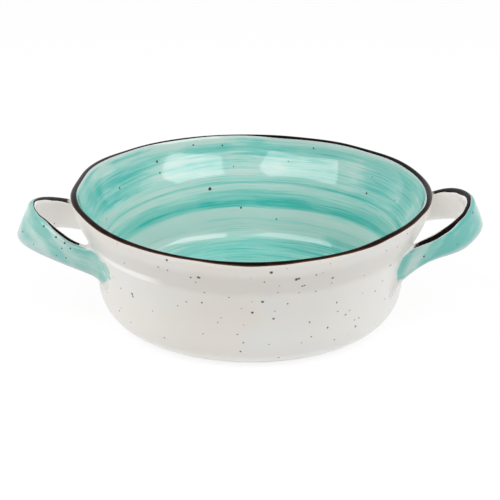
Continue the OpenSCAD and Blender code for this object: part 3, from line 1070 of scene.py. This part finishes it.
def build_bowl(clay):
    """The bowl's clay and its three coats."""
    dress(bowl_clay(), "bowl_body", clay)
    below = LIP_CREST - line_reach(LINE_BELOW_AT, LINE_BELOW, BELOW_SEED)
    inside = LIP_CREST + line_reach(LINE_INSIDE_AT, LINE_INSIDE, INSIDE_SEED)
    coat = revolve("white_outer_coat", 0, below, OUTER_STEPS)
    dress(coat, "outer_glaze", white_wall_glaze())
    coat = revolve("brown_rim_line", below, inside, LINE_STEPS)
    dress(coat, "rim_line", brown_rim_glaze())
    coat = revolve("turquoise_inner_coat", inside, TOTAL, INNER_STEPS)
    dress(coat, "inner_glaze", turquoise_glaze())


def build_straps(clay):
    """Both straps' clay, coats and joints. The joints share the turquoise coats' paint."""
    paint, white, brown = strap_glaze(), white_strap_glaze(), brown_strap_glaze()
    coats = (("turquoise_coat", 32, "outer_glaze", paint, "turquoise_glaze"),
             ("brown_line", 9, "line", brown, "brown_line"),
             ("white_coat", 30, "inner_glaze", white, "white_glaze"))
    for side in SIDES:
        dress(strap_clay(side), side + "_strap", clay)
        for which, (name, count, node, material, slot) in enumerate(coats):
            dress(strap_coat(f"{side}_{name}", side, which, count), f"{side}_{node}", material)
        for leg in ("front", "back"):
            dress(joint(side, leg), f"{side}_{leg}_joint", paint)


# Studio, in metres

# Target, degrees to the right of the photograph's side, degrees up, distance, degrees of roll
CAMERA_PLACE = ((-0.0002, 0, 0.0268), 0, 22.44, 0.9, 0.34)
LEFT_PLACE = ((0, 0, 0.03), -49, 49, 1, 12)
RIGHT_PLACE = ((0, 0, 0.03), 57, 46.4, 1, -38)
# The camera's sensor and lens, in millimetres
SENSOR_W, LENS = 36, 155
# The world's light in front, how much more comes from the sides, and from behind as a ramp
FRONT_LIGHT, SIDE_LIGHT, BACK_LIGHT = 0.26, 0.5, (0, 0.6, 0, 0.4)
# The floor's half width, its white, how strongly it glows and the share of the glow in its colour
FLOOR_HALF, FLOOR_WHITE, FLOOR_GLOW, GLOW_SHARE = 3, 0.9, 1.05, 0.82


def aim(name, data, target, azimuth, elevation, distance, roll):
    """Places a lamp or a camera so that it faces its target."""
    turn, tilt = math.radians(azimuth), math.radians(elevation)
    way = Vector((math.sin(turn) * math.cos(tilt), -math.cos(turn) * math.cos(tilt), math.sin(tilt)))
    rolled = Quaternion((0, 0, 1), math.radians(roll))
    obj = add_object(name, data)
    obj.location = Vector(target) + way * distance
    obj.rotation_mode = "QUATERNION"
    obj.rotation_quaternion = (-way).to_track_quat("-Z", "Y") @ rolled
    return obj


def camera():
    """The photograph's view, 22.4 degrees above level and 0.9 m away, rolled a little."""
    data = bpy.data.cameras.new("camera")
    data.sensor_width, data.lens = SENSOR_W, LENS
    bpy.context.scene.camera = aim("camera", data, *CAMERA_PLACE)


def softbox(name, place, size, radiance):
    data = bpy.data.lights.new(name, "AREA")
    data.shape = "RECTANGLE"
    data.size, data.size_y = size
    data.energy = radiance * math.pi * size[0] * size[1]
    aim(name, data, *place)


def studio_floor():
    """A white floor, which glows where it is seen by the camera or in a reflection."""
    corners = [(x * FLOOR_HALF, y * FLOOR_HALF, 0) for x, y in ((-1, -1), (1, -1), (1, 1), (-1, 1))]
    mesh = bpy.data.meshes.new("studio_floor")
    mesh.from_pydata(corners, [], [(0, 1, 2, 3)])
    material, shader, _ = new_material("studio_floor")
    tree = material.node_tree
    white = (FLOOR_WHITE, FLOOR_WHITE, FLOOR_WHITE, 1)
    set_inputs(shader, {"Base Color": white, "Roughness": 0.9, "Specular IOR Level": 0})
    glow = new_node(tree, "Emission")
    set_inputs(glow, {"Strength": FLOOR_GLOW})
    rays = new_node(tree, "LightPath").outputs
    seen, glossy, clear = (Value(rays[f"Is {kind} Ray"]) for kind in ("Camera", "Glossy", "Transmission"))
    share = seen.at_least(glossy.at_least(clear)) * GLOW_SHARE
    mixer = new_node(tree, "MixShader", share, Value(shader.outputs[0]), Value(glow.outputs[0]))
    feed(tree.get_output_node("ALL").inputs[0], Value(mixer.outputs[0]))
    mesh.materials.append(material)
    add_object("studio_floor", mesh)


def world():
    """A pale studio, lighter at the sides and behind, seen as white by the camera."""
    made = bpy.data.worlds.new("studio")
    made.use_nodes = True
    tree = made.node_tree
    x, y, _ = parts(Value(new_node(tree, "TexCoord").outputs["Generated"]))
    strength = x * x * SIDE_LIGHT + FRONT_LIGHT + ramp(y, *BACK_LIGHT)
    seen = Value(new_node(tree, "LightPath").outputs["Is Camera Ray"])
    set_inputs(tree.nodes["Background"], {"Color": (1, 1, 1, 1), "Strength": strength.at_least(seen)})
    bpy.context.scene.world = made


camera()
stoneware = bare_clay()
build_bowl(stoneware)
build_straps(stoneware)
studio_floor()
world()
softbox("left_softbox", LEFT_PLACE, (1, 0.7), 2.2)
softbox("right_softbox", RIGHT_PLACE, (0.72, 0.7), 2.4)
bpy.context.scene.view_settings.view_transform = "Standard"
